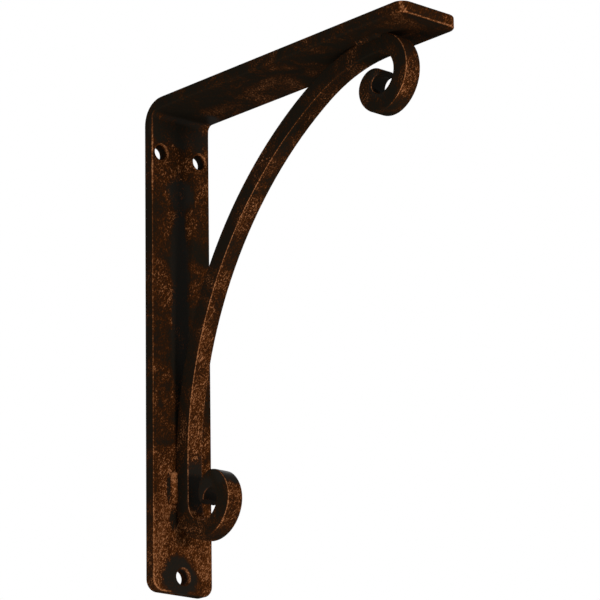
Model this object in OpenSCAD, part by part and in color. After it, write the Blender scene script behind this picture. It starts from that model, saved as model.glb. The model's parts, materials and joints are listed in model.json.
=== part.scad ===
// Wrought iron shelf bracket: a flat bar bent square into a wall leg and a shelf leg, carried by a
// square bar that sweeps from one leg to the other and curls into a scroll at each end.
// X runs across the flat bar, the wall is the plane y = 0, and the shelf leg reaches out along -Y.
// The origin lies on the wall face, midway between the two upper screw holes. Sizes are millimetres.

/* [Flat bar] */
// Width of the flat bar
bar_w = 38.1; // [32:0.1:50]
// Thickness of the flat bar
bar_t = 6.35; // [5:0.05:8]
// Reach of the shelf leg from the wall
reach = 190.5; // [182:0.5:220]
// Height from the foot of the wall leg to the shelf face
height = 254; // [245:0.5:300]
// Inside radius of the square bend
bend_r = 6.5; // [4:0.1:9]
// Radius of the rounded corners at the ends of both legs
corner_r = 6; // [3:0.1:10]
// Rounding along the edges of the flat bar
bar_edge_r = 1; // [0.4:0.1:2]

/* [Screw holes] */
// Bore of each screw hole
hole_d = 7.94; // [4:0.02:9]
// Chamfer round the front of each screw hole
hole_chamfer = 0.8; // [0.3:0.1:1.5]
// Distance of the two upper holes from the sides of the flat bar
hole_edge = 6.35; // [5.5:0.05:9]
// Distance of the upper holes below the shelf face
hole_drop = 27; // [22:0.5:40]
// Distance of the lower hole above the foot
foot_hole_rise = 8.5; // [6:0.1:15]

/* [Brace] */
// Side of the square bar
brace_b = 9.525; // [8:0.025:11]
// Rounding along the edges of the square bar
brace_edge_r = 1; // [0.4:0.1:2]
// Distance of the upper scroll from the end of the shelf leg
tip_clear = 12.4; // [8:0.1:20]
// Distance of the lower scroll from the end of the wall leg
foot_clear = 23.8; // [20:0.1:35]
// Angle of the main sweep, before the brace eases on to the shelf leg, in degrees
sweep_angle = 62; // [56:1:68]
// Straight run of the brace on the wall leg
lower_run = 19.7; // [16:0.1:26]
// Depth of the flat dressed on the brace where it beds under the shelf leg
seat_depth = 1.35; // [0.8:0.05:2.4]

/* [Scrolls] */
// Inside radius of the open turn
open_turn_r = 10.6; // [9:0.1:12]
// Angle of the open turn, in degrees
open_angle = 155; // [140:1:170]
// Inside radius of the closing turn
closing_turn_r = 6.7; // [5:0.1:8]
// Angle of the closing turn, in degrees
closing_angle = 76; // [60:1:90]
// Inside radius of the tight turn
tight_turn_r = 3.5; // [2.5:0.1:4.5]
// Angle of the tight turn, in degrees
tight_angle = 28; // [20:1:40]
// Inside radius where the drawn-out tip begins
tip_turn_r = 0.2; // [0.1:0.05:0.6]
// Angle that the drawn-out tip turns through, in degrees
tip_angle = 141; // [120:1:150]
// Thickness that is left at the end of the tip
tip_t = 2.75; // [1.5:0.05:4]

/* [Welds] */
// Reach of each bead along the flat bar
weld_leg = 3.5; // [2:0.1:5]
// Reach of each bead up the side of the brace
weld_rise = 1.8; // [1:0.1:3]
// Depth of a bead's centre line below the face of the flat bar
weld_sink = 1.2; // [0.4:0.1:2]
// Length of the beads on the wall leg
lower_weld_l = 18; // [14:0.5:20]
// Distance of those beads below the middle of the straight run
lower_weld_drop = 1.5; // [0:0.1:4]
// Length of the beads under the shelf leg
upper_weld_l = 18; // [14:0.5:22]

/* [Hidden] */
$fn = 128;
iron = [0.10, 0.07, 0.05];
weld_iron = [0.14, 0.09, 0.06];
// How far a cut runs past the face that it opens
over = 1;
// A rounded cut runs out this far past a face, so that it crosses the face instead of grazing it
graze = 0.02;
// Step of the fractions that a place is rounded down to
fine = 0.00001;

shelf_z = hole_drop;
foot_z = shelf_z - height;
wall_front = -bar_t;
shelf_under = shelf_z - bar_t;
bend_outer_r = bend_r + bar_t;
hole_x = bar_w / 2 - hole_edge;
screw_holes = [[-hole_x, 0], [hole_x, 0], [0, foot_z + foot_hole_rise]];

// The scroll is a chain of arcs that share a tangent where they meet
turn_inner = [open_turn_r, closing_turn_r, tight_turn_r, tip_turn_r];
turn_angle = [open_angle, closing_angle, tight_angle, tip_angle];
tip = len(turn_inner) - 1;

// The brace leaves its straight run at sweep_z and lies highest at top_y, before the seat is dressed
run_foot = foot_z + foot_clear + turn_r(0);
sweep_z = run_foot + lower_run;
brace_top = shelf_under + seat_depth;
top_y = tip_clear + turn_r(0) - reach;

// Outside radii of the two sweeps that join those places and share a tangent where they meet
span = wall_front - top_y;
rise = brace_top - sweep_z;
meeting = heading(sweep_angle);
slack = meeting[0] + meeting[1] - 1;
sweep_r = (rise * meeting[0] - span * (1 - meeting[1])) / slack;
ease_r = (span * meeting[1] - rise * (1 - meeting[0])) / slack;

// Centres of the two sweeps, as [y, z]
sweep_c = [wall_front - sweep_r, sweep_z];
ease_c = [top_y, brace_top - ease_r];

// Hollow of the tip: a circle that touches the bar's inside face where the tip begins
tip_inside = turn_r(tip) - tip_t;
eye_shift = (tip_inside * tip_inside - tip_turn_r * tip_turn_r)
    / (2 * (tip_turn_r - tip_inside * cos(tip_angle)));
eye_r = eye_shift + tip_turn_r;

// Flat seat under the shelf leg, measured each way from the highest point of the brace
seat_to_wall = sqrt(seat_depth * (2 * ease_r - seat_depth));
seat_to_tip = sqrt(seat_depth * (2 * turn_r(0) - seat_depth));
seat_mid_y = top_y + (seat_to_wall - seat_to_tip) / 2;

// Round section of a bead, as its distance from the side of the brace and its radius
weld_x = (weld_leg * weld_leg - weld_rise * weld_rise - 2 * weld_rise * weld_sink) / (2 * weld_leg);
weld_r = norm([weld_leg - weld_x, weld_sink]);

function heading(angle) = [cos(angle), sin(angle)];
function turn_r(k) = turn_inner[k] + brace_b;
function turn_start(k) = k == 0 ? 0 : turn_start(k - 1) - turn_angle[k - 1];
function turn_c(k) = k == 0
    ? [-turn_r(0), 0]
    : turn_c(k - 1) + (turn_r(k - 1) - turn_r(k)) * heading(turn_start(k));

// Rectangle with rounded corners, centred
module rounded_section(w, t, r) {
    square([w - 2 * r, t], center = true);
    square([w, t - 2 * r], center = true);
    for (x = [-1, 1], y = [-1, 1])
        translate([x * (w / 2 - r), y * (t / 2 - r)])
            circle(r);
}

// The same section from its middle line to one rounded side
module half_section(depth, t, r) {
    intersection() {
        rounded_section(2 * depth, t, r);
        translate([0, -t / 2])
            square([depth, t]);
    }
}

module brace_section() {
    rounded_section(brace_b, brace_b, brace_edge_r);
}

// Moves by whole millimetres, then by the fraction, then by the last digits, so that none are lost
module place(to) {
    whole = [for (size = to) floor(size)];
    rest = to - whole;
    fraction = [for (size = rest) floor(size / fine) * fine];
    translate(whole)
        translate(fraction)
            translate(rest - fraction)
                children();
}

// Turns a solid of revolution so that its axis lies along X, about a centre [y, z].
// Angles then run from +Y towards +Z.
module about_x(centre) {
    place([0, centre[0], centre[1]])
        rotate([90, 0, 90])
            children();
}

// Bent length of the square bar, given by the centre and radius of its outside face
module bent_brace(centre, outer_r, from, turn) {
    about_x(centre)
        rotate_extrude(angle = turn, start = from)
            place([outer_r, 0])
                translate([-brace_b / 2, 0])
                    brace_section();
}

// Straight length of the square bar along +Z, with its outside face on y = 0
module straight_brace(l) {
    translate([0, -brace_b / 2, 0])
        linear_extrude(l)
            brace_section();
}

// Rounded end of the flat bar, lying in the XY plane and pointing along +Y
module bar_end() {
    side = bar_w / 2 - corner_r;
    translate([-side, 0, 0])
        rotate([90, 0, 90])
            linear_extrude(2 * side)
                half_section(corner_r, bar_t, bar_edge_r);
    for (corner = [[side, 0], [-side, 90]])
        translate([corner[0], 0, 0])
            rotate([0, 0, corner[1]])
                rotate_extrude(angle = 90)
                    half_section(corner_r, bar_t, bar_edge_r);
}

module wall_leg() {
    straight_foot = foot_z + corner_r;
    translate([0, -bar_t / 2, straight_foot]) {
        linear_extrude(shelf_z - bend_outer_r - straight_foot)
            rounded_section(bar_w, bar_t, bar_edge_r);
        rotate([-90, 0, 0])
            bar_end();
    }
}

module shelf_leg() {
    straight = reach - corner_r - bend_outer_r;
    translate([0, -bend_outer_r, shelf_z - bar_t / 2]) {
        rotate([90, 0, 0])
            linear_extrude(straight)
                rounded_section(bar_w, bar_t, bar_edge_r);
        translate([0, -straight, 0])
            rotate([0, 0, 180])
                bar_end();
    }
}

module square_bend() {
    about_x([-bend_outer_r, shelf_z - bend_outer_r])
        rotate_extrude(angle = 90)
            translate([bend_outer_r - bar_t / 2, 0])
                rounded_section(bar_t, bar_w, bar_edge_r);
}

// Screw hole along Y, chamfered on the front of the wall leg
module screw_hole() {
    hole_r = hole_d / 2;
    rotate([90, 0, 0]) {
        translate([0, 0, -over])
            cylinder(r = hole_r, h = bar_t + 2 * over);
        translate([0, 0, bar_t - hole_chamfer])
            cylinder(r1 = hole_r, r2 = hole_r + hole_chamfer + over, h = hole_chamfer + over);
    }
}

// Hollow inside the drawn-out tip, with the rounding of the bar's inside edges
module tip_eye() {
    rotate_extrude()
        difference() {
            translate([0, -brace_b / 2 - over])
                square([eye_r + brace_edge_r, brace_b + 2 * over]);
            translate([eye_r + brace_b / 2, 0])
                rounded_section(brace_b, brace_b + 2 * graze, brace_edge_r);
        }
}

module scroll_tip() {
    eye_c = -eye_shift * heading(turn_start(tip));
    about_x(turn_c(tip))
        difference() {
            rotate_extrude(angle = tip_angle, start = turn_start(tip) - tip_angle)
                half_section(turn_r(tip), brace_b, brace_edge_r);
            place([eye_c[0], eye_c[1], 0])
                tip_eye();
        }
}

// Scroll whose bar comes down along -Z with its outside face on y = 0
module scroll() {
    for (k = [0 : tip - 1])
        bent_brace(turn_c(k), turn_r(k), turn_start(k + 1), turn_angle[k]);
    scroll_tip();
}

// Whole length of the square bar before the seat is dressed on it
module swept_bar() {
    place([0, wall_front, run_foot]) {
        scroll();
        straight_brace(lower_run);
    }
    bent_brace(sweep_c, sweep_r, 0, sweep_angle);
    bent_brace(ease_c, ease_r, sweep_angle, 90 - sweep_angle);
    place([0, top_y, brace_top])
        mirror([0, 1, -1])
            scroll();
}

// Space above the underside of the shelf leg, where the brace is dressed flat
module seat_cut() {
    seat_l = seat_to_wall + seat_to_tip + 2 * over;
    translate([-brace_b / 2 - over, seat_mid_y - seat_l / 2, shelf_under])
        cube([brace_b + 2 * over, seat_l, seat_depth + over]);
}

// Round-ended bead along Z, centred
module bead(l) {
    straight = l - 2 * weld_r;
    cylinder(r = weld_r, h = straight, center = true);
    for (end = [-1, 1])
        translate([0, 0, end * straight / 2])
            sphere(weld_r);
}

module mounting_bar() {
    color(iron)
        difference() {
            union() {
                wall_leg();
                square_bend();
                shelf_leg();
            }
            for (hole = screw_holes)
                translate([hole[0], 0, hole[1]])
                    screw_hole();
        }
}

module scroll_brace() {
    color(iron)
        difference() {
            swept_bar();
            seat_cut();
        }
}

// Bead along Z in the corner between the planes x = 0 and y = 0, on the side of +X and -Y
module corner_bead(l) {
    difference() {
        translate([weld_x, weld_sink, 0])
            bead(l);
        translate([-2 * weld_r, -2 * weld_r, -l])
            cube([2 * weld_r, 4 * weld_r, 2 * l]);
        translate([-2 * weld_r, 0, -l])
            cube([4 * weld_r, 2 * weld_r, 2 * l]);
    }
}

// One bead in each corner between the brace and the wall leg
module lower_welds() {
    color(weld_iron)
        for (side = [0, 1])
            mirror([side, 0, 0])
                translate([brace_b / 2, wall_front, run_foot + lower_run / 2 - lower_weld_drop])
                    corner_bead(lower_weld_l);
}

// One bead in each corner between the brace and the shelf leg
module upper_welds() {
    color(weld_iron)
        for (side = [0, 1])
            mirror([side, 0, 0])
                translate([brace_b / 2, seat_mid_y, shelf_under])
                    mirror([0, 1, -1])
                        corner_bead(upper_weld_l);
}

mounting_bar();
scroll_brace();
lower_welds();
upper_welds();
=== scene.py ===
"""Finish and studio for a wrought iron shelf bracket, laid out as an add-on and run as a script."""
import json
import math
import random
from typing import NamedTuple

import bpy
from bpy.props import FloatProperty, FloatVectorProperty, IntProperty, PointerProperty
from mathutils import Euler, Matrix, Vector


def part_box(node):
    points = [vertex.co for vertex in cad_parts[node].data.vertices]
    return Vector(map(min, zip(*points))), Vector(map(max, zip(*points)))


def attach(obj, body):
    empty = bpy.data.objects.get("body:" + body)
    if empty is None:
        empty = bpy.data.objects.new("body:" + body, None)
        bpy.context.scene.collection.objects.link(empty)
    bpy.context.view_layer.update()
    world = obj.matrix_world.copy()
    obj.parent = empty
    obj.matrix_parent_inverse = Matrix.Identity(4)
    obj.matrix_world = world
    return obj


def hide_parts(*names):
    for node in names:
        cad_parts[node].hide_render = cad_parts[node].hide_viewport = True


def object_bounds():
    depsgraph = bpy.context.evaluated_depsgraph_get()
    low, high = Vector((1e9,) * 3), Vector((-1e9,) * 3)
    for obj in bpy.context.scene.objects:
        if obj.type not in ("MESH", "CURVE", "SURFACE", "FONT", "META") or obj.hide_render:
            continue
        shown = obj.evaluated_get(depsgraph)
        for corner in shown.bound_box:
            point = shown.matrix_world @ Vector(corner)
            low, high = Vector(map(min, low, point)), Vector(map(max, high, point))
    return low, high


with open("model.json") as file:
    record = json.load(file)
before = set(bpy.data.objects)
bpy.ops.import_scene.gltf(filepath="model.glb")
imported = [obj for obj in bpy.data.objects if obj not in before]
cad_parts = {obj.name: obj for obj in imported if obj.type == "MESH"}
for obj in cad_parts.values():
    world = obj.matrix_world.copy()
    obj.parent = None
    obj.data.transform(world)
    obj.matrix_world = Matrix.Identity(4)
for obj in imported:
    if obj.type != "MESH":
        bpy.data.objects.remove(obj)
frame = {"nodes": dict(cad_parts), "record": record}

CAD_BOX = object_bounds()

bl_info = {
    "name": "Scrolled Shelf Bracket",
    "version": (1, 0, 0),
    "blender": (4, 5, 0),
    "location": "3D View > Sidebar > Bracket",
    "description": "Gives the shelf bracket its tight bend, weld beads, rubbed iron finish and studio",
    "category": "Object",
}

MILLIMETRE = 0.001
LOWEST, HIGHEST = CAD_BOX
MIDDLE = (LOWEST + HIGHEST) / 2
WALL_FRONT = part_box("lower_welds")[1].y
HOLES = [mount for mount in frame["record"]["mounts"] if mount["kind"] == "bore"]
LOWER_HOLE_HEIGHT = min(mount["pos_m"][2] for mount in HOLES)
# Width of the ring round a screw hole that holds its chamfer
HOLE_RIM = 1.6 * MILLIMETRE
# Depth of a spot on the front of the wall leg, which keeps it off the back
WALL_SKIN = 4.5 * MILLIMETRE
# Depth of a spot on an edge of the flat bar
EDGE_SKIN = 3 * MILLIMETRE
# Reach of a spot through the whole width of the brace
BRACE_THROUGH = 20 * MILLIMETRE


class Spot(NamedTuple):
    """A soft, ragged place: its centre, its reach along each axis and how dark it makes the finish. Dark
    spots are mostly painted shade and shadow, one is a bare place round a screw hole; other spots hold
    painted highlights.
    """

    centre: tuple
    size: tuple
    darkness: float = 1.0


class Wear(NamedTuple):
    """How far one piece is rubbed through, and where it is rubbed least and most, with the places of its
    painted shade and painted highlights.
    """

    patches: float
    strokes: float
    edges: float
    shift: tuple = (0.0, 0.0, 0.0)
    # How much lighter the lower end is made, and the heights at which this begins and is full
    lower_end: float = 0.52
    heights: tuple = (-0.100, -0.205)
    bare_and_shaded_spots: tuple = ()
    painted_highlight_rims: tuple = ()
    holes: tuple = ()


def hole_rim(mount):
    """The place of a screw hole's chamfer on the front of the wall leg."""
    x, _, z = mount["pos_m"]
    reach = mount["dims"]["r_mm"] * MILLIMETRE + HOLE_RIM
    return Spot((x, WALL_FRONT, z), (reach, 2 * HOLE_RIM, reach))


def wall_spot(x, z, width, height, darkness=1.0):
    """A spot on the front of the wall leg that is kept bare of rubbing, which darkens it; most of these
    are painted shadow and shade.
    """
    return Spot((x, WALL_FRONT, z), (width, WALL_SKIN, height), darkness)


def brace_shade_spot(y, z, length, height):
    """A spot right across the brace, kept bare of rubbing as painted shade."""
    return Spot((0.0, y, z), (BRACE_THROUGH, length, height))


BAR_WEAR = Wear(
    patches=0.31,
    strokes=0.37,
    edges=0.50,
    lower_end=0.72,
    heights=(-0.125, -0.215),
    bare_and_shaded_spots=(
        # Round the lower screw hole
        wall_spot(-0.0040, LOWER_HOLE_HEIGHT, 0.0125, 0.0105),
        # Painted shadow of the shelf leg above the upper screw holes, where a little rubbing is left
        wall_spot(0.0, 0.0125, 0.0250, 0.0085, darkness=0.75),
        # Painted shadow of the upper scroll and brace under the upper screw holes
        wall_spot(-0.0015, -0.0195, 0.0095, 0.0085),
        # Painted shadow of the brace on the strip of the wall leg behind it
        wall_spot(-0.0014, -0.0800, 0.0062, 0.0750),
        # Painted shade inside the bend
        Spot((0.0060, -0.0135, 0.0190), (0.0190, 0.0090, 0.0062)),
        # Painted shadow below the lower left weld bead, then painted shade in the line beside it
        wall_spot(-0.0060, -0.1905, 0.0032, 0.0075),
        wall_spot(-0.0092, -0.1747, 0.0016, 0.0100),
    ),
    painted_highlight_rims=(
        # Painted highlight on the left edge beside the upper screw holes
        Spot((LOWEST.x, WALL_FRONT, -0.0050), (EDGE_SKIN, EDGE_SKIN, 0.0190)),
        # Painted highlight on the left corner of the foot
        Spot((LOWEST.x, WALL_FRONT, LOWEST.z), (0.0120, EDGE_SKIN, 0.0120)),
        # Painted highlight on the lower edge of the tip
        Spot((0.0, LOWEST.y, HIGHEST.z - 0.0060), (0.0250, EDGE_SKIN, EDGE_SKIN)),
    ),
    # Painted highlights on the rims and bores of the screw holes, on the side that leans left and down
    holes=tuple(hole_rim(mount) for mount in HOLES),
)
BRACE_WEAR = Wear(
    patches=0.30,
    strokes=0.53,
    edges=0.85,
    shift=(0.31, 0.12, 0.27),
    heights=(-0.050, -0.150),
    bare_and_shaded_spots=(
        # Painted shadow of the lower scroll between the wall leg's seat and the scroll
        brace_shade_spot(-0.0135, -0.1740, 0.008, 0.016),
        # Painted shade in the eye of the lower scroll, then in that of the upper one
        brace_shade_spot(-0.0275, -0.1800, 0.008, 0.008),
        brace_shade_spot(-0.1585, -0.0030, 0.008, 0.008),
        # Painted shade on the top of the lower scroll
        brace_shade_spot(-0.0430, -0.1710, 0.008, 0.007),
    ),
)
# The lower beads, which face the front lamp, are rubbed more as a painted highlight; the upper ones, which
# face down, less as painted shade
LOWER_WELD_LIT_WEAR = Wear(patches=0.70, strokes=0.80, edges=0.10, shift=(0.1, 0.4, 0.2))
UPPER_WELD_SHADED_WEAR = Wear(patches=0.20, strokes=0.40, edges=0.10, shift=(0.1, 0.4, 0.2))


class RubbedIronSettings(bpy.types.PropertyGroup):
    """Colours and scales of the dark iron finish that is rubbed through to copper"""

    iron: FloatVectorProperty(
        name="Iron",
        description="Dark lacquer on the iron",
        subtype="COLOR",
        min=0,
        max=1,
        default=(0.0094, 0.0067, 0.0040),
    )
    umber: FloatVectorProperty(
        name="Umber",
        description="Brown where the lacquer is thin",
        subtype="COLOR",
        min=0,
        max=1,
        default=(0.030, 0.0078, 0.0014),
    )
    copper: FloatVectorProperty(
        name="Copper",
        description="Copper brought out by the rubbing strokes",
        subtype="COLOR",
        min=0,
        max=1,
        default=(0.095, 0.0262, 0.0060),
    )
    # Brightest copper of single strokes, partly a painted glint, and the colour of the painted highlights
    # along edges and rims
    bright_copper_and_glint: FloatVectorProperty(
        name="Glint",
        description="Brightest copper, on edges and on single strokes",
        subtype="COLOR",
        min=0,
        max=1,
        default=(0.275, 0.1030, 0.0390),
    )
    patch_size: FloatProperty(
        name="Patch size",
        description="Width of a rubbed patch",
        unit="LENGTH",
        default=22 * MILLIMETRE,
    )
    stroke_length: FloatProperty(
        name="Stroke length",
        description="Length of one rubbing stroke",
        unit="LENGTH",
        default=5.0 * MILLIMETRE,
    )
    stroke_width: FloatProperty(
        name="Stroke width",
        description="Width of one rubbing stroke",
        unit="LENGTH",
        default=0.52 * MILLIMETRE,
    )
    iron_roughness: FloatProperty(
        name="Iron roughness",
        description="Roughness of the dark lacquer",
        subtype="FACTOR",
        min=0,
        max=1,
        default=0.55,
    )
    copper_roughness: FloatProperty(
        name="Copper roughness",
        description="Roughness of the rubbed copper",
        subtype="FACTOR",
        min=0,
        max=1,
        default=0.40,
    )


class BarSettings(bpy.types.PropertyGroup):
    """Shape of the flat bar"""

    bend_radius: FloatProperty(
        name="Bend radius",
        description="Inside radius of the bend, hammered tighter than a plain bend",
        unit="LENGTH",
        default=2.8 * MILLIMETRE,
    )


class WeldSettings(bpy.types.PropertyGroup):
    """Shape of the weld beads"""

    ripples: IntProperty(
        name="Ripples",
        description="Number of ripples in one bead",
        default=11,
        min=3,
    )
    ripple_depth: FloatProperty(
        name="Ripple thickness",
        description="Half the thickness of one ripple along the bead",
        unit="LENGTH",
        default=1.6 * MILLIMETRE,
    )
    sink: FloatProperty(
        name="Sink",
        description="Depth of the bead's centre line below the face of the flat bar",
        unit="LENGTH",
        default=1.2 * MILLIMETRE,
    )
    grain: FloatProperty(
        name="Mesh grain",
        description="Size of the faces on a bead",
        unit="LENGTH",
        default=0.25 * MILLIMETRE,
    )


class StudioSettings(bpy.types.PropertyGroup):
    """Camera, floor and lamps"""

    camera_place: FloatVectorProperty(
        name="Camera place",
        description="Where the camera stands",
        subtype="TRANSLATION",
        unit="LENGTH",
        default=(-1.04724, -1.24533, -0.54860),
    )
    camera_azimuth: FloatProperty(
        name="Camera azimuth",
        description="Direction of the camera round the bracket, from the front towards its right",
        subtype="ANGLE",
        default=math.radians(-42.3169),
    )
    camera_elevation: FloatProperty(
        name="Camera elevation",
        description="Height of the camera above the level of the bracket",
        subtype="ANGLE",
        default=math.radians(-16.2155),
    )
    camera_roll: FloatProperty(
        name="Camera roll",
        description="Turn of the camera about its line of sight",
        subtype="ANGLE",
        default=math.radians(-0.9420),
    )
    camera_lens: FloatProperty(
        name="Lens",
        description="Focal length for a sensor 36 mm wide",
        default=200.4,
    )
    floor_drop: FloatProperty(
        name="Floor drop",
        description="Height of the bracket's foot above the floor",
        unit="LENGTH",
        default=0.42,
    )
    floor_radius: FloatProperty(
        name="Floor radius",
        description="Distance over which the floor fades into the background",
        unit="LENGTH",
        default=2.6,
    )
    key_light: FloatProperty(
        name="Key light",
        description="Brightness of a white face that the front lamp meets squarely",
        default=0.67,
    )
    bounce_light: FloatProperty(
        name="Bounce light",
        description="Brightness of a white face that the lamp low on the left meets squarely",
        default=0.66,
    )
    back_light: FloatProperty(
        name="Back light",
        description="Brightness of a white face that the back lamp meets squarely",
        default=0.8,
    )
    fill_light: FloatVectorProperty(
        name="Fill light",
        description="Cool, even light from all round",
        subtype="COLOR",
        min=0,
        max=1,
        default=(0.47, 0.60, 0.74),
    )


def add_node(tree, kind, inputs=None, **settings):
    """Adds a shader node with its settings, and sets or links the given inputs."""
    node = tree.nodes.new(kind)
    for name, value in settings.items():
        setattr(node, name, value)
    for socket, value in (inputs or {}).items():
        if isinstance(value, bpy.types.NodeSocket):
            tree.links.new(value, node.inputs[socket])
        else:
            node.inputs[socket].default_value = value
    return node


def combine(tree, operation, *values, clamp=False):
    """Output of a math node on two or three values."""
    inputs = dict(enumerate(values))
    return add_node(tree, "ShaderNodeMath", inputs, operation=operation, use_clamp=clamp).outputs[0]


def ramp(tree, value, low, high):
    """Smooth step of a value from 0 at low to 1 at high."""
    inputs = {"Value": value, "From Min": low, "From Max": high}
    node = add_node(tree, "ShaderNodeMapRange", inputs, interpolation_type="SMOOTHSTEP")
    return node.outputs["Result"]


def colour_ramp(tree, value, stops):
    """Colour that runs through the given (position, colour) stops as the value grows."""
    node = add_node(tree, "ShaderNodeValToRGB", {"Fac": value})
    elements = node.color_ramp.elements
    while len(elements) < len(stops):
        elements.new(1.0)
    for element, (position, colour) in zip(elements, stops):
        element.position = position
        element.color = (*colour, 1)
    return node.outputs["Color"]


def noise(tree, vector, scale, detail, roughness, distortion):
    """Value of a noise texture, from about 0 to 1."""
    inputs = {
        "Vector": vector,
        "Scale": scale,
        "Detail": detail,
        "Roughness": roughness,
        "Distortion": distortion,
    }
    return add_node(tree, "ShaderNodeTexNoise", inputs).outputs["Fac"]


def new_group(name, inputs, outputs):
    """An empty shader node group with named sockets, as (group, input node, output node)."""
    group = bpy.data.node_groups.new(name, "ShaderNodeTree")
    for label, kind in inputs:
        group.interface.new_socket(label, in_out="INPUT", socket_type=kind)
    for label, kind in outputs:
        group.interface.new_socket(label, in_out="OUTPUT", socket_type=kind)
    return group, group.nodes.new("NodeGroupInput").outputs, group.nodes.new("NodeGroupOutput").inputs


# Levels of the noise between which the patches, the grain and the strokes go from nothing to full
PATCH_LEVELS = (0.32, 0.66)
GRAIN_LEVELS = (1.22, 1.78)
STROKE_LEVELS = (0.63, 0.71)
# Directions in which the strokes cross each other
STROKE_TURNS = (Euler((0.5, 0.9, 0.7)), Euler((-0.8, 0.4, -0.9)), Euler((0.2, -0.7, 0.3)))


def rubbed_patches_group():
    """Cloudy patches of wear, crossed by fine rubbing strokes."""
    group, given, made = new_group(
        "Rubbed Patches",
        [
            ("Vector", "NodeSocketVector"),
            ("Patch Scale", "NodeSocketFloat"),
            ("Stroke Scale", "NodeSocketFloat"),
            ("Stroke Stretch", "NodeSocketFloat"),
        ],
        [
            ("Patches", "NodeSocketFloat"),
            ("Grain", "NodeSocketFloat"),
            ("Strokes", "NodeSocketFloat"),
        ],
    )
    cloudy = {"detail": 7.0, "roughness": 0.68, "distortion": 0.7}
    clouds = noise(group, given["Vector"], given["Patch Scale"], **cloudy)
    group.links.new(ramp(group, clouds, *PATCH_LEVELS), made["Patches"])
    stretch = add_node(group, "ShaderNodeCombineXYZ", {"X": given["Stroke Stretch"], "Y": 1.0, "Z": 1.0})
    fine = {"detail": 1.0, "roughness": 0.5, "distortion": 0.5}
    grain = 0.0
    strokes = 0.0
    for turn in STROKE_TURNS:
        turned = add_node(group, "ShaderNodeMapping", {"Vector": given["Vector"], "Rotation": turn})
        vectors = {0: turned.outputs["Vector"], 1: stretch.outputs["Vector"]}
        stretched = add_node(group, "ShaderNodeVectorMath", vectors, operation="MULTIPLY")
        lines = noise(group, stretched.outputs["Vector"], given["Stroke Scale"], **fine)
        grain = combine(group, "ADD", grain, lines)
        strokes = combine(group, "MAXIMUM", strokes, lines)
    group.links.new(ramp(group, grain, *GRAIN_LEVELS), made["Grain"])
    group.links.new(ramp(group, strokes, *STROKE_LEVELS), made["Strokes"])
    return group


# Slant of a normal between a side and a face, from where an edge begins to where it is full
EDGE_SLANT = (0.17, 0.25)


def edge_wear_and_highlight_group():
    """Mask of the rounded edges along the bars, where the normal lies between a side and a face."""
    group, _, made = new_group("Edge Wear And Highlight", [], [("Edge", "NodeSocketFloat")])
    surface = add_node(group, "ShaderNodeNewGeometry")
    normal = add_node(group, "ShaderNodeSeparateXYZ", {"Vector": surface.outputs["Normal"]}).outputs
    across = combine(group, "POWER", normal["X"], 2.0)
    along = combine(group, "SUBTRACT", 1.0, across)
    slant = combine(group, "MULTIPLY", across, along)
    group.links.new(ramp(group, slant, *EDGE_SLANT), made["Edge"])
    return group


# How far the patches fray a spot, and where its rim begins and ends, as shares of its size
SPOT_FRAYING = 0.35
SPOT_RIM = (0.85, 1.30)


def spot_group():
    """0 within a soft, ragged spot, and 1 outside it."""
    group, given, made = new_group(
        "Spot",
        [
            ("Vector", "NodeSocketVector"),
            ("Centre", "NodeSocketVector"),
            ("Size", "NodeSocketVector"),
            ("Ragged", "NodeSocketFloat"),
        ],
        [("Outside", "NodeSocketFloat")],
    )
    steps = {0: given["Vector"], 1: given["Centre"]}
    apart = add_node(group, "ShaderNodeVectorMath", steps, operation="SUBTRACT").outputs["Vector"]
    steps = {0: apart, 1: given["Size"]}
    apart = add_node(group, "ShaderNodeVectorMath", steps, operation="DIVIDE").outputs["Vector"]
    away = add_node(group, "ShaderNodeVectorMath", {0: apart}, operation="LENGTH").outputs["Value"]
    away = combine(group, "MULTIPLY_ADD", given["Ragged"], SPOT_FRAYING, away)
    group.links.new(ramp(group, away, *SPOT_RIM), made["Outside"])
    return group


def shared_group(tree, name, build, inputs=None):
    """Outputs of a node group placed in a material. The group is built at its first use."""
    group = bpy.data.node_groups.get(name) or build()
    return add_node(tree, "ShaderNodeGroup", inputs, node_tree=group).outputs


def outside(tree, place, spot, ragged):
    """0 within a spot of the finish, and 1 outside it."""
    inputs = {"Vector": place, "Centre": spot.centre, "Size": spot.size, "Ragged": ragged}
    return shared_group(tree, "Spot", spot_group, inputs)["Outside"]


def outside_all(tree, place, spots, ragged):
    """1 outside all of some spots of the finish, and down to 0 within one, by how dark it is."""
    clear = 1.0
    for spot in spots:
        kept = outside(tree, place, spot, ragged)
        kept = combine(tree, "MULTIPLY_ADD", kept, spot.darkness, 1 - spot.darkness)
        clear = combine(tree, "MULTIPLY", clear, kept)
    return clear


# Faces that look to the front are painted lighter, as the front lamp lights them, and the sides darker as
# painted shade
# Parts of a normal along an axis between which a face comes to look to the front, or to the top or back
LIT_FRONT_TURN = (-0.15, -0.95)
FAR_TURN = (0.30, 0.95)
# Where along Y the wear of the tip begins and is full
TIP_STRETCH = (LOWEST.y + 0.0355, LOWEST.y + 0.0055)
TIP_WEAR = 0.25
# Share of the rubbing that reaches a side, a cloudy part of a side, the top, the back and the tip
SIDE_REACH = 0.10
CLOUD_REACH = 0.34
TOP_REACH = 0.45
BACK_REACH = 0.25
TIP_REACH = 0.20


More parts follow.
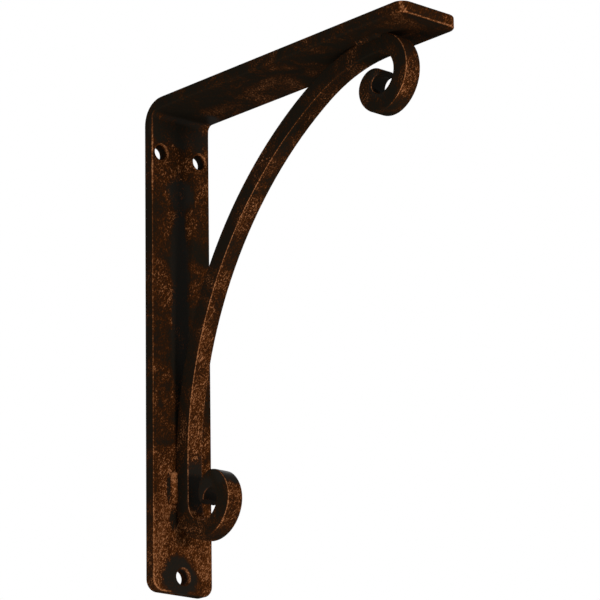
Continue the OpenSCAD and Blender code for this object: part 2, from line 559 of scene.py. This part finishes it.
def worn_patches(tree, place, normal, clouds, wear):
    """How far each place is rubbed through, before strokes and edges. Faces that look to the front keep
    the most, painted lighter as the front lamp lights them; the sides are left darker as painted shade.
    """
    spread = add_node(tree, "ShaderNodeSeparateXYZ", {"Vector": place}).outputs
    low = ramp(tree, spread["Z"], *wear.heights)
    tip = ramp(tree, spread["Y"], *TIP_STRETCH)
    patches = combine(tree, "MULTIPLY_ADD", low, wear.lower_end, clouds)
    patches = combine(tree, "MULTIPLY_ADD", tip, TIP_WEAR, patches)
    front = ramp(tree, normal["Y"], *LIT_FRONT_TURN)
    top = ramp(tree, normal["Z"], *FAR_TURN)
    back = ramp(tree, normal["Y"], *FAR_TURN)
    side = combine(tree, "MULTIPLY_ADD", clouds, CLOUD_REACH, SIDE_REACH)
    reached = combine(tree, "MULTIPLY_ADD", front, combine(tree, "SUBTRACT", 1.0, side), side)
    for facing, reach in ((top, TOP_REACH), (back, BACK_REACH), (tip, TIP_REACH)):
        reached = combine(tree, "MULTIPLY_ADD", facing, reach, reached)
    return combine(tree, "MULTIPLY", patches, reached)


# Parts of a normal along Y between which an edge comes to face forward, a flat begins to slant
# and the wall of a bore begins
# An edge that faces forward, towards the front lamp, gets a painted highlight
FORWARD_TURN = (-0.05, -0.60)
SLANTING_TURN = (-0.98, -0.88)
BORE_TURN = (-0.20, -0.02)
# Lean of a rim to the left and down, and of a bore's wall to the left, from nothing to full; it picks the
# side of a hole that gets the painted highlight
RIM_LEAN = (0.0, -0.6)
BORE_LEAN = (0.3, -0.8)
# What leaning down counts beside leaning left, and the wear and painted highlight of a rim that leans
# neither way
DOWN_SHARE = 0.8
UPRIGHT_SHARE = 0.3
RIM_WEAR_AND_HIGHLIGHT = 0.78
BORE_WEAR_AND_HIGHLIGHT = 0.72


def worn_and_highlit_edges(tree, place, normal, clouds, wear):
    """How far the edges are rubbed through and painted with highlights: all that face forward, towards the
    front lamp, a little, rims and bores most.
    """
    along = shared_group(tree, "Edge Wear And Highlight", edge_wear_and_highlight_group)["Edge"]
    forward = ramp(tree, normal["Y"], *FORWARD_TURN)
    worn = combine(tree, "MULTIPLY", along, forward)
    worn = combine(tree, "MULTIPLY", worn, wear.edges)
    if not wear.painted_highlight_rims and not wear.holes:
        return worn
    slanting = combine(tree, "MULTIPLY", forward, ramp(tree, normal["Y"], *SLANTING_TURN))
    leaning = combine(tree, "MULTIPLY_ADD", normal["Z"], DOWN_SHARE, normal["X"])
    leaning = ramp(tree, leaning, *RIM_LEAN)
    leaning = combine(tree, "MULTIPLY_ADD", leaning, 1 - UPRIGHT_SHARE, UPRIGHT_SHARE)
    rim = combine(tree, "MULTIPLY", slanting, leaning)
    rim = combine(tree, "MULTIPLY", rim, RIM_WEAR_AND_HIGHLIGHT)
    bore = ramp(tree, normal["Y"], *BORE_TURN)
    bore = combine(tree, "MULTIPLY", bore, ramp(tree, normal["X"], *BORE_LEAN))
    bore = combine(tree, "MULTIPLY", bore, BORE_WEAR_AND_HIGHLIGHT)
    hole = combine(tree, "MAXIMUM", rim, bore)
    for faces, spots in ((rim, wear.painted_highlight_rims), (hole, wear.holes)):
        for spot in spots:
            within = combine(tree, "SUBTRACT", 1.0, outside(tree, place, spot, clouds))
            worn = combine(tree, "MAXIMUM", worn, combine(tree, "MULTIPLY", faces, within))
    return worn


# Strength of the strokes in all places and where the patches crowd together, and how sharply they crowd
STROKES_ANYWHERE = 0.08
STROKES_CROWDED = 0.50
CROWDING = 3.0
# Swing of the grain about its middle, and what an edge keeps and gains where the grain breaks it
GRAIN_MIDDLE = 0.5
GRAIN_SWING = 0.22
EDGE_KEPT = 0.4
EDGE_GAIN = 0.8
# Wear and painted light at which the iron ends and umber, copper and glint are reached
COLOUR_STEPS = (0.02, 0.26, 0.58, 0.95)
RUBBED_METAL = 0.25
REFLECTION_TINT = (0.4, 0.4, 0.4, 1)
# Shine of the lacquer in the bare spots and the spots of painted shade
BARE_SHINE = 0.05
BARE_SHINE_ROUGHNESS = 0.35
STROKE_RELIEF = 0.35
STROKE_DEPTH = 0.15 * MILLIMETRE


def rubbed_iron(name, finish, wear):
    """Dark iron, rubbed through to copper in patches, in fine strokes and along its edges, with painted
    highlights on edges and rims, painted shade in spots, and faces toward the front lamp painted lighter.
    """
    material = bpy.data.materials.new(name)
    material.use_nodes = True
    tree = material.node_tree
    shader = tree.nodes["Principled BSDF"]
    shader.inputs["Specular IOR Level"].default_value = 0.0
    shader.inputs["Specular Tint"].default_value = REFLECTION_TINT

    place = add_node(tree, "ShaderNodeTexCoord").outputs["Object"]
    shifted = add_node(tree, "ShaderNodeMapping", {"Vector": place, "Location": wear.shift})
    pattern = {
        "Vector": shifted.outputs["Vector"],
        "Patch Scale": 1 / finish.patch_size,
        "Stroke Scale": 1 / finish.stroke_width,
        "Stroke Stretch": finish.stroke_width / finish.stroke_length,
    }
    rub = shared_group(tree, "Rubbed Patches", rubbed_patches_group, pattern)
    surface = add_node(tree, "ShaderNodeNewGeometry")
    normal = add_node(tree, "ShaderNodeSeparateXYZ", {"Vector": surface.outputs["Normal"]}).outputs

    # Within the bare spots and the spots of painted shade and shadow the rubbing is taken away, which
    # darkens them
    kept = outside_all(tree, place, wear.bare_and_shaded_spots, rub["Patches"])
    patches = worn_patches(tree, place, normal, rub["Patches"], wear)
    patches = combine(tree, "MULTIPLY", patches, kept)
    strokes = combine(tree, "MULTIPLY_ADD", patches, wear.strokes, STROKES_ANYWHERE)
    crowded = combine(tree, "POWER", rub["Patches"], CROWDING)
    strokes = combine(tree, "MULTIPLY_ADD", crowded, STROKES_CROWDED, strokes)
    strokes = combine(tree, "MULTIPLY", strokes, rub["Strokes"])
    grain = combine(tree, "SUBTRACT", rub["Grain"], GRAIN_MIDDLE)
    grain = combine(tree, "MULTIPLY_ADD", grain, GRAIN_SWING, wear.patches)
    rubbed = combine(tree, "MULTIPLY_ADD", patches, grain, strokes)
    edges = worn_and_highlit_edges(tree, place, normal, rub["Patches"], wear)
    broken = combine(tree, "MULTIPLY_ADD", rub["Grain"], EDGE_GAIN, EDGE_KEPT)
    rubbed = combine(tree, "MULTIPLY_ADD", edges, broken, rubbed, clamp=True)

    colours = (finish.iron, finish.umber, finish.copper, finish.bright_copper_and_glint)
    colour = colour_ramp(tree, rubbed, list(zip(COLOUR_STEPS, colours)))
    tree.links.new(colour, shader.inputs["Base Color"])
    tree.links.new(combine(tree, "MULTIPLY", rubbed, RUBBED_METAL), shader.inputs["Metallic"])
    polish = {"Value": rubbed, "To Min": finish.iron_roughness, "To Max": finish.copper_roughness}
    rough = add_node(tree, "ShaderNodeMapRange", polish)
    tree.links.new(rough.outputs["Result"], shader.inputs["Roughness"])
    if wear.bare_and_shaded_spots:
        lacquer = combine(tree, "SUBTRACT", 1.0, kept)
        tree.links.new(combine(tree, "MULTIPLY", lacquer, BARE_SHINE), shader.inputs["Coat Weight"])
        shader.inputs["Coat Roughness"].default_value = BARE_SHINE_ROUGHNESS
    relief = {"Strength": STROKE_RELIEF, "Distance": STROKE_DEPTH, "Height": rub["Strokes"]}
    bump = add_node(tree, "ShaderNodeBump", relief)
    tree.links.new(bump.outputs["Normal"], shader.inputs["Normal"])
    return material


def dress(piece, material):
    """Makes a material the only one of a piece."""
    piece.data.materials.clear()
    piece.data.materials.append(material)


# Distance below which the points of a copied node become one
MERGE = 0.002 * MILLIMETRE


def copied_node(node, name):
    """A merged copy of a CAD node, as a piece of its own."""
    piece = bpy.data.objects.new(name, frame["nodes"][node].data.copy())
    bpy.context.scene.collection.objects.link(piece)
    bpy.ops.object.select_all(action="DESELECT")
    piece.select_set(True)
    bpy.context.view_layer.objects.active = piece
    bpy.ops.mesh.customdata_custom_splitnormals_clear()
    bpy.ops.object.mode_set(mode="EDIT")
    bpy.ops.mesh.select_all(action="SELECT")
    bpy.ops.mesh.remove_doubles(threshold=MERGE)
    bpy.ops.object.mode_set(mode="OBJECT")
    return piece


# Inside radius of the bend in the solid
PLAIN_BEND = 6.5 * MILLIMETRE


def corner_reach(towards, radius):
    """Distance from the pivot of the plain bend to the inside of a tighter one, along a direction."""
    straight = PLAIN_BEND - radius
    flat = PLAIN_BEND / max(towards.y, towards.z)
    if min(towards.y, towards.z) * flat <= straight:
        return flat
    centre = Vector((0, straight, straight))
    along = towards.dot(centre)
    return along + math.sqrt(along**2 - centre.length_squared + radius**2)


def tighten_bend(bar, radius):
    """Brings the inside of the bend to a tighter radius. The outside of the bar stays."""
    thickness = -WALL_FRONT
    outside_radius = PLAIN_BEND + thickness
    pivot = Vector((0, WALL_FRONT - PLAIN_BEND, HIGHEST.z - outside_radius))
    for point in bar.data.vertices:
        arm = point.co - pivot
        arm.x = 0
        if arm.y <= 0 or arm.z <= 0:
            continue
        towards = arm.normalized()
        depth = (outside_radius - arm.length) / thickness
        point.co += towards * depth * (corner_reach(towards, radius) - PLAIN_BEND)


class BeadShape(NamedTuple):
    """Size of one weld bead: its leg on the flat bar, its crown above it and its length."""

    leg: float
    crown: float
    length: float


# Room at the two ends of a bead for its outer ripples, in half thicknesses of a ripple
END_ROOM = 2.3
# Size of a ripple, as shares of the bead's radius, and its tilts, in radians
RIPPLE_SIZES = (0.90, 0.98)
RIPPLE_TILTS = (0.05, 0.25)


def weld_bead(name, weld, shape, seed):
    """One rippled bead along Z, in the corner of the planes x = 0 and y = 0, towards +X and -Y."""
    draw = random.Random(seed)
    least, most = RIPPLE_TILTS
    radius = shape.crown + weld.sink
    middle = shape.leg - math.sqrt(radius**2 - weld.sink**2)
    span = shape.length - END_ROOM * weld.ripple_depth
    for k in range(weld.ripples):
        size = radius * draw.uniform(*RIPPLE_SIZES)
        bpy.ops.mesh.primitive_uv_sphere_add(
            segments=48,
            ring_count=24,
            radius=1,
            location=(middle, weld.sink, span * (k / (weld.ripples - 1) - 0.5)),
            rotation=(draw.uniform(-most, -least), draw.uniform(least, most), 0),
            scale=(size, size, weld.ripple_depth),
        )
        if k == 0:
            bead = bpy.context.object
            bead.name = name
            bpy.ops.object.transform_apply(location=True, rotation=True, scale=True)
            bpy.ops.object.mode_set(mode="EDIT")
    bpy.ops.object.mode_set(mode="OBJECT")
    finish_with(bead, "REMESH", mode="VOXEL", voxel_size=weld.grain)
    finish_with(bead, "SMOOTH", factor=0.5, iterations=2)
    bpy.ops.object.mode_set(mode="EDIT")
    for out in (Vector((-1, 0, 0)), Vector((0, 1, 0))):
        bpy.ops.mesh.select_all(action="SELECT")
        bpy.ops.mesh.bisect(plane_co=(0, 0, 0), plane_no=out, use_fill=True, clear_outer=True)
    bpy.ops.object.mode_set(mode="OBJECT")
    return bead


def finish_with(piece, kind, **settings):
    """Adds a modifier to a piece and applies it."""
    bpy.context.view_layer.objects.active = piece
    modifier = piece.modifiers.new(kind.lower(), kind)
    for name, value in settings.items():
        setattr(modifier, name, value)
    bpy.ops.object.modifier_apply(modifier=modifier.name)


# Angle between faces from which an edge stays sharp, on a bead and on the flat bar
BEAD_SHARPNESS = math.radians(40)
BAR_SHARPNESS = math.radians(30)


def weld_beads(context, name, node, shape, placing, seed, wear):
    """The two beads of a weld node, one on each side of the brace, as one piece."""
    weld = context.scene.bracket_weld
    beads = []
    for side in (1, -1):
        bead = weld_bead(f"{name}_{side}", weld, shape, seed + side)
        mirror = Matrix.Diagonal((side, 1, 1, 1))
        bead.matrix_world = mirror @ placing
        beads.append(bead)
    bpy.ops.object.select_all(action="DESELECT")
    for bead in beads:
        bead.select_set(True)
    bpy.context.view_layer.objects.active = beads[0]
    bpy.ops.object.transform_apply(location=True, rotation=True, scale=True)
    bpy.ops.object.join()
    piece = bpy.context.object
    piece.name = name
    bpy.ops.object.mode_set(mode="EDIT")
    bpy.ops.mesh.select_all(action="SELECT")
    bpy.ops.mesh.normals_make_consistent(inside=False)
    bpy.ops.object.mode_set(mode="OBJECT")
    bpy.ops.object.shade_smooth_by_angle(angle=BEAD_SHARPNESS)
    dress(piece, rubbed_iron(f"{name}_iron", context.scene.bracket_iron, wear))
    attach(piece, "root")
    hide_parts(node)


class BRACKET_OT_mounting_bar(bpy.types.Operator):
    """Tightens the bend of the flat bar and gives the bar its finish"""

    bl_idname = "bracket.mounting_bar"
    bl_label = "Mounting Bar"

    def execute(self, context):
        bar = copied_node("mounting_bar", "flat_bar")
        tighten_bend(bar, context.scene.bracket_bar.bend_radius)
        bpy.ops.object.shade_smooth_by_angle(angle=BAR_SHARPNESS)
        finish_with(bar, "WEIGHTED_NORMAL", weight=100, keep_sharp=True)
        dress(bar, rubbed_iron("rubbed_iron_bar", context.scene.bracket_iron, BAR_WEAR))
        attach(bar, "root")
        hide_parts("mounting_bar")
        return {"FINISHED"}


class BRACKET_OT_scroll_brace(bpy.types.Operator):
    """Finishes the square bar with its two scrolls"""

    bl_idname = "bracket.scroll_brace"
    bl_label = "Scroll Brace"

    def execute(self, context):
        iron = rubbed_iron("rubbed_iron_brace", context.scene.bracket_iron, BRACE_WEAR)
        dress(frame["nodes"]["scroll_brace"], iron)
        return {"FINISHED"}


# Seeds of the ripples
LOWER_SEED = 11
UPPER_SEED = 23


class BRACKET_OT_lower_welds(bpy.types.Operator):
    """Lays the two weld beads that hold the brace to the wall leg"""

    bl_idname = "bracket.lower_welds"
    bl_label = "Lower Welds"

    def execute(self, context):
        low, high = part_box("lower_welds")
        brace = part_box("scroll_brace")[1]
        shape = BeadShape(leg=high.x - brace.x, crown=high.y - low.y, length=high.z - low.z)
        placing = Matrix.Translation((brace.x, high.y, (low.z + high.z) / 2))
        weld_beads(context, "lower_weld_beads", "lower_welds", shape, placing, LOWER_SEED, LOWER_WELD_LIT_WEAR)
        return {"FINISHED"}


class BRACKET_OT_upper_welds(bpy.types.Operator):
    """Lays the two weld beads that hold the brace to the shelf leg"""

    bl_idname = "bracket.upper_welds"
    bl_label = "Upper Welds"

    def execute(self, context):
        low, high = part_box("upper_welds")
        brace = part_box("scroll_brace")[1]
        shape = BeadShape(leg=high.x - brace.x, crown=high.z - low.z, length=high.y - low.y)
        swap_y_and_z = Matrix(((1, 0, 0, 0), (0, 0, 1, 0), (0, 1, 0, 0), (0, 0, 0, 1)))
        placing = Matrix.Translation((brace.x, (low.y + high.y) / 2, high.z)) @ swap_y_and_z
        weld_beads(context, "upper_weld_beads", "upper_welds", shape, placing, UPPER_SEED, UPPER_WELD_SHADED_WEAR)
        return {"FINISHED"}


class BRACKET_OT_stage(bpy.types.Operator):
    """Sets up the camera, the floor, the background and the lamps"""

    bl_idname = "bracket.stage"
    bl_label = "Studio"

    def execute(self, context):
        studio = context.scene.bracket_studio
        aim_camera(context.scene, studio)
        lay_floor(studio)
        light_world(context.scene, studio)
        hang_lamps(studio)
        context.scene.view_settings.view_transform = "Standard"
        return {"FINISHED"}


def direction(azimuth, elevation):
    """Unit vector from the bracket towards an azimuth and an elevation."""
    level = math.cos(elevation)
    return Vector((math.sin(azimuth) * level, -math.cos(azimuth) * level, math.sin(elevation)))


SENSOR_WIDTH = 36


def aim_camera(scene, studio):
    """Stands the camera where the settings say, and makes it the scene's own."""
    data = bpy.data.cameras.new("camera")
    data.sensor_width = SENSOR_WIDTH
    data.lens = studio.camera_lens
    camera = bpy.data.objects.new("camera", data)
    scene.collection.objects.link(camera)
    sight = -direction(studio.camera_azimuth, studio.camera_elevation)
    upright = sight.to_track_quat("-Z", "Y").to_matrix()
    turn = upright @ Matrix.Rotation(studio.camera_roll, 3, "Z")
    camera.matrix_world = Matrix.Translation(studio.camera_place) @ turn.to_4x4()
    scene.camera = camera


def lay_floor(studio):
    """Lays a round, pale floor below the bracket."""
    bpy.ops.object.select_all(action="DESELECT")
    bpy.ops.mesh.primitive_circle_add(vertices=96, radius=studio.floor_radius, fill_type="NGON")
    floor = bpy.context.object
    floor.name = "floor"
    floor.location = (MIDDLE.x, MIDDLE.y, LOWEST.z - studio.floor_drop)
    floor.data.materials.append(floor_material(studio))


# Colour of the floor, the light that lifts it to the background, and the shares of its radius
# at which it is gone and is whole
FLOOR_COLOUR = (0.8, 0.8, 0.8, 1)
FLOOR_GLOW = (0.62, 0.62, 0.62, 1)
FLOOR_GONE = 0.95
FLOOR_WHOLE = 0.3


def floor_material(studio):
    """Pale floor for the camera that keeps shadows, fades at its rim and is clear from below."""
    material = bpy.data.materials.new("pale_floor")
    material.use_nodes = True
    tree = material.node_tree
    tree.nodes.clear()
    output = tree.nodes.new("ShaderNodeOutputMaterial")
    pale = add_node(tree, "ShaderNodeBsdfDiffuse", {"Color": FLOOR_COLOUR})
    glow = add_node(tree, "ShaderNodeEmission", {"Color": FLOOR_GLOW})
    lit = tree.nodes.new("ShaderNodeAddShader")
    tree.links.new(pale.outputs[0], lit.inputs[0])
    tree.links.new(glow.outputs[0], lit.inputs[1])
    clear = tree.nodes.new("ShaderNodeBsdfTransparent")
    path = tree.nodes.new("ShaderNodeLightPath")
    surface = tree.nodes.new("ShaderNodeNewGeometry")
    place = tree.nodes.new("ShaderNodeTexCoord")
    reach = add_node(tree, "ShaderNodeVectorMath", {0: place.outputs["Object"]}, operation="LENGTH")
    gone = studio.floor_radius * FLOOR_GONE
    whole = studio.floor_radius * FLOOR_WHOLE
    near = ramp(tree, reach.outputs["Value"], gone, whole)
    front = combine(tree, "SUBTRACT", 1.0, surface.outputs["Backfacing"])
    shown = combine(tree, "MULTIPLY", near, front)
    shown = combine(tree, "MULTIPLY", shown, path.outputs["Is Camera Ray"])
    mix = tree.nodes.new("ShaderNodeMixShader")
    tree.links.new(shown, mix.inputs[0])
    tree.links.new(clear.outputs[0], mix.inputs[1])
    tree.links.new(lit.outputs[0], mix.inputs[2])
    tree.links.new(mix.outputs[0], output.inputs["Surface"])
    return material


def light_world(scene, studio):
    """White background for the eye, and an even, cool fill for the bracket's diffuse light."""
    world = bpy.data.worlds.new("studio")
    scene.world = world
    world.use_nodes = True
    tree = world.node_tree
    tree.nodes.clear()
    output = tree.nodes.new("ShaderNodeOutputWorld")
    path = tree.nodes.new("ShaderNodeLightPath")
    seen = combine(tree, "MAXIMUM", path.outputs["Is Camera Ray"], path.outputs["Is Glossy Ray"])
    seen = combine(tree, "MAXIMUM", seen, path.outputs["Is Transmission Ray"])
    level = colour_ramp(tree, seen, [(0.0, studio.fill_light), (1.0, (1, 1, 1))])
    back = add_node(tree, "ShaderNodeBackground", {"Color": level})
    tree.links.new(back.outputs["Background"], output.inputs["Surface"])


# Directions of the lamps from the bracket's middle: in front, low on the left, high behind on the right
KEY_LAMP = (0.0, -0.99863, -0.05234)
BOUNCE_LAMP = (-0.68, 0.20, -0.70)
BACK_LAMP = (0.62, 0.62, 0.5)


def hang_lamps(studio):
    """Hangs the three lamps round the bracket."""
    hang_lamp("key_lamp", KEY_LAMP, studio.key_light, distance=2.5, size=0.36)
    hang_lamp("bounce_lamp", BOUNCE_LAMP, studio.bounce_light, distance=2.0, size=1.4)
    hang_lamp("back_lamp", BACK_LAMP, studio.back_light, distance=2.0, size=1.0)


def hang_lamp(name, place, brightness, distance, size):
    """A square lamp whose light gives a white face that brightness where it meets it squarely."""
    data = bpy.data.lights.new(name, "AREA")
    data.size = size
    data.energy = brightness * (math.pi * distance) ** 2
    lamp = bpy.data.objects.new(name, data)
    bpy.context.scene.collection.objects.link(lamp)
    towards = Vector(place).normalized()
    lamp.location = MIDDLE + towards * distance
    lamp.rotation_euler = (-towards).to_track_quat("-Z", "Y").to_euler()


class BRACKET_PT_panel(bpy.types.Panel):
    """Sidebar panel of the bracket"""

    bl_label = "Shelf Bracket"
    bl_space_type = "VIEW_3D"
    bl_region_type = "UI"
    bl_category = "Bracket"

    def draw(self, context):
        for group in SETTINGS:
            settings = getattr(context.scene, group)
            for name in settings.__annotations__:
                self.layout.prop(settings, name)
        for operator in OPERATORS:
            self.layout.operator(operator.bl_idname)


SETTINGS = {
    "bracket_iron": RubbedIronSettings,
    "bracket_bar": BarSettings,
    "bracket_weld": WeldSettings,
    "bracket_studio": StudioSettings,
}
OPERATORS = (
    BRACKET_OT_mounting_bar,
    BRACKET_OT_scroll_brace,
    BRACKET_OT_lower_welds,
    BRACKET_OT_upper_welds,
    BRACKET_OT_stage,
)
CLASSES = (*SETTINGS.values(), *OPERATORS, BRACKET_PT_panel)


def register():
    """Registers the settings, the operators and the panel."""
    for item in CLASSES:
        bpy.utils.register_class(item)
    for name, settings in SETTINGS.items():
        setattr(bpy.types.Scene, name, PointerProperty(type=settings))


def unregister():
    """Takes everything that register added away again."""
    for name in SETTINGS:
        delattr(bpy.types.Scene, name)
    for item in reversed(CLASSES):
        bpy.utils.unregister_class(item)


def main():
    register()
    bpy.ops.bracket.mounting_bar()
    bpy.ops.bracket.scroll_brace()
    bpy.ops.bracket.lower_welds()
    bpy.ops.bracket.upper_welds()
    bpy.ops.bracket.stage()


if __name__ == "__main__":
    main()
